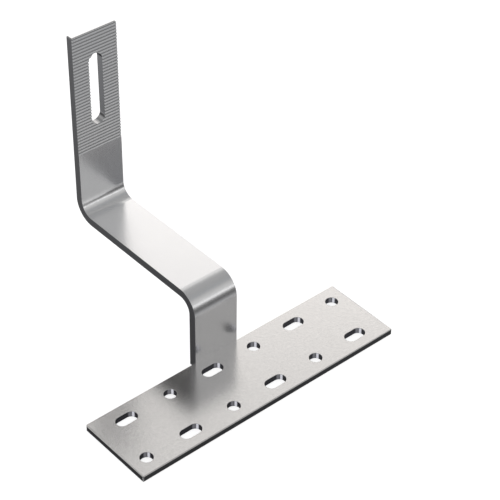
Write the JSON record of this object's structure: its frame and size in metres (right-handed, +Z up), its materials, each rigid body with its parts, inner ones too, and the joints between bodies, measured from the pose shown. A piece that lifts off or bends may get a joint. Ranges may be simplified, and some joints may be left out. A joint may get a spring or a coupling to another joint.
{
  "type": "solar roof hook",
  "caption": "Stainless roof hook: a flat bar bent into a step, with a ribbed and slotted head, welded to a perforated base plate that is screwed to a rafter.",
  "frame": {"origin": "middle of the base plate's underside, on the rafter", "axes": "+X along the base plate, +Y from the plate towards the upright, +Z up, away from the rafter"},
  "size_m": [0.18, 0.157, 0.166],
  "materials": {
    "stainless_plate": "satin stainless sheet with dark cut edges",
    "stainless_bar": "satin stainless flat bar",
    "weld_metal": "ground weld"
  },
  "bodies": {
    "root": {"base_plate": "stainless_plate", "hook_arm": "stainless_bar", "weld_seam": "weld_metal"}
  },
  "joints": []
}
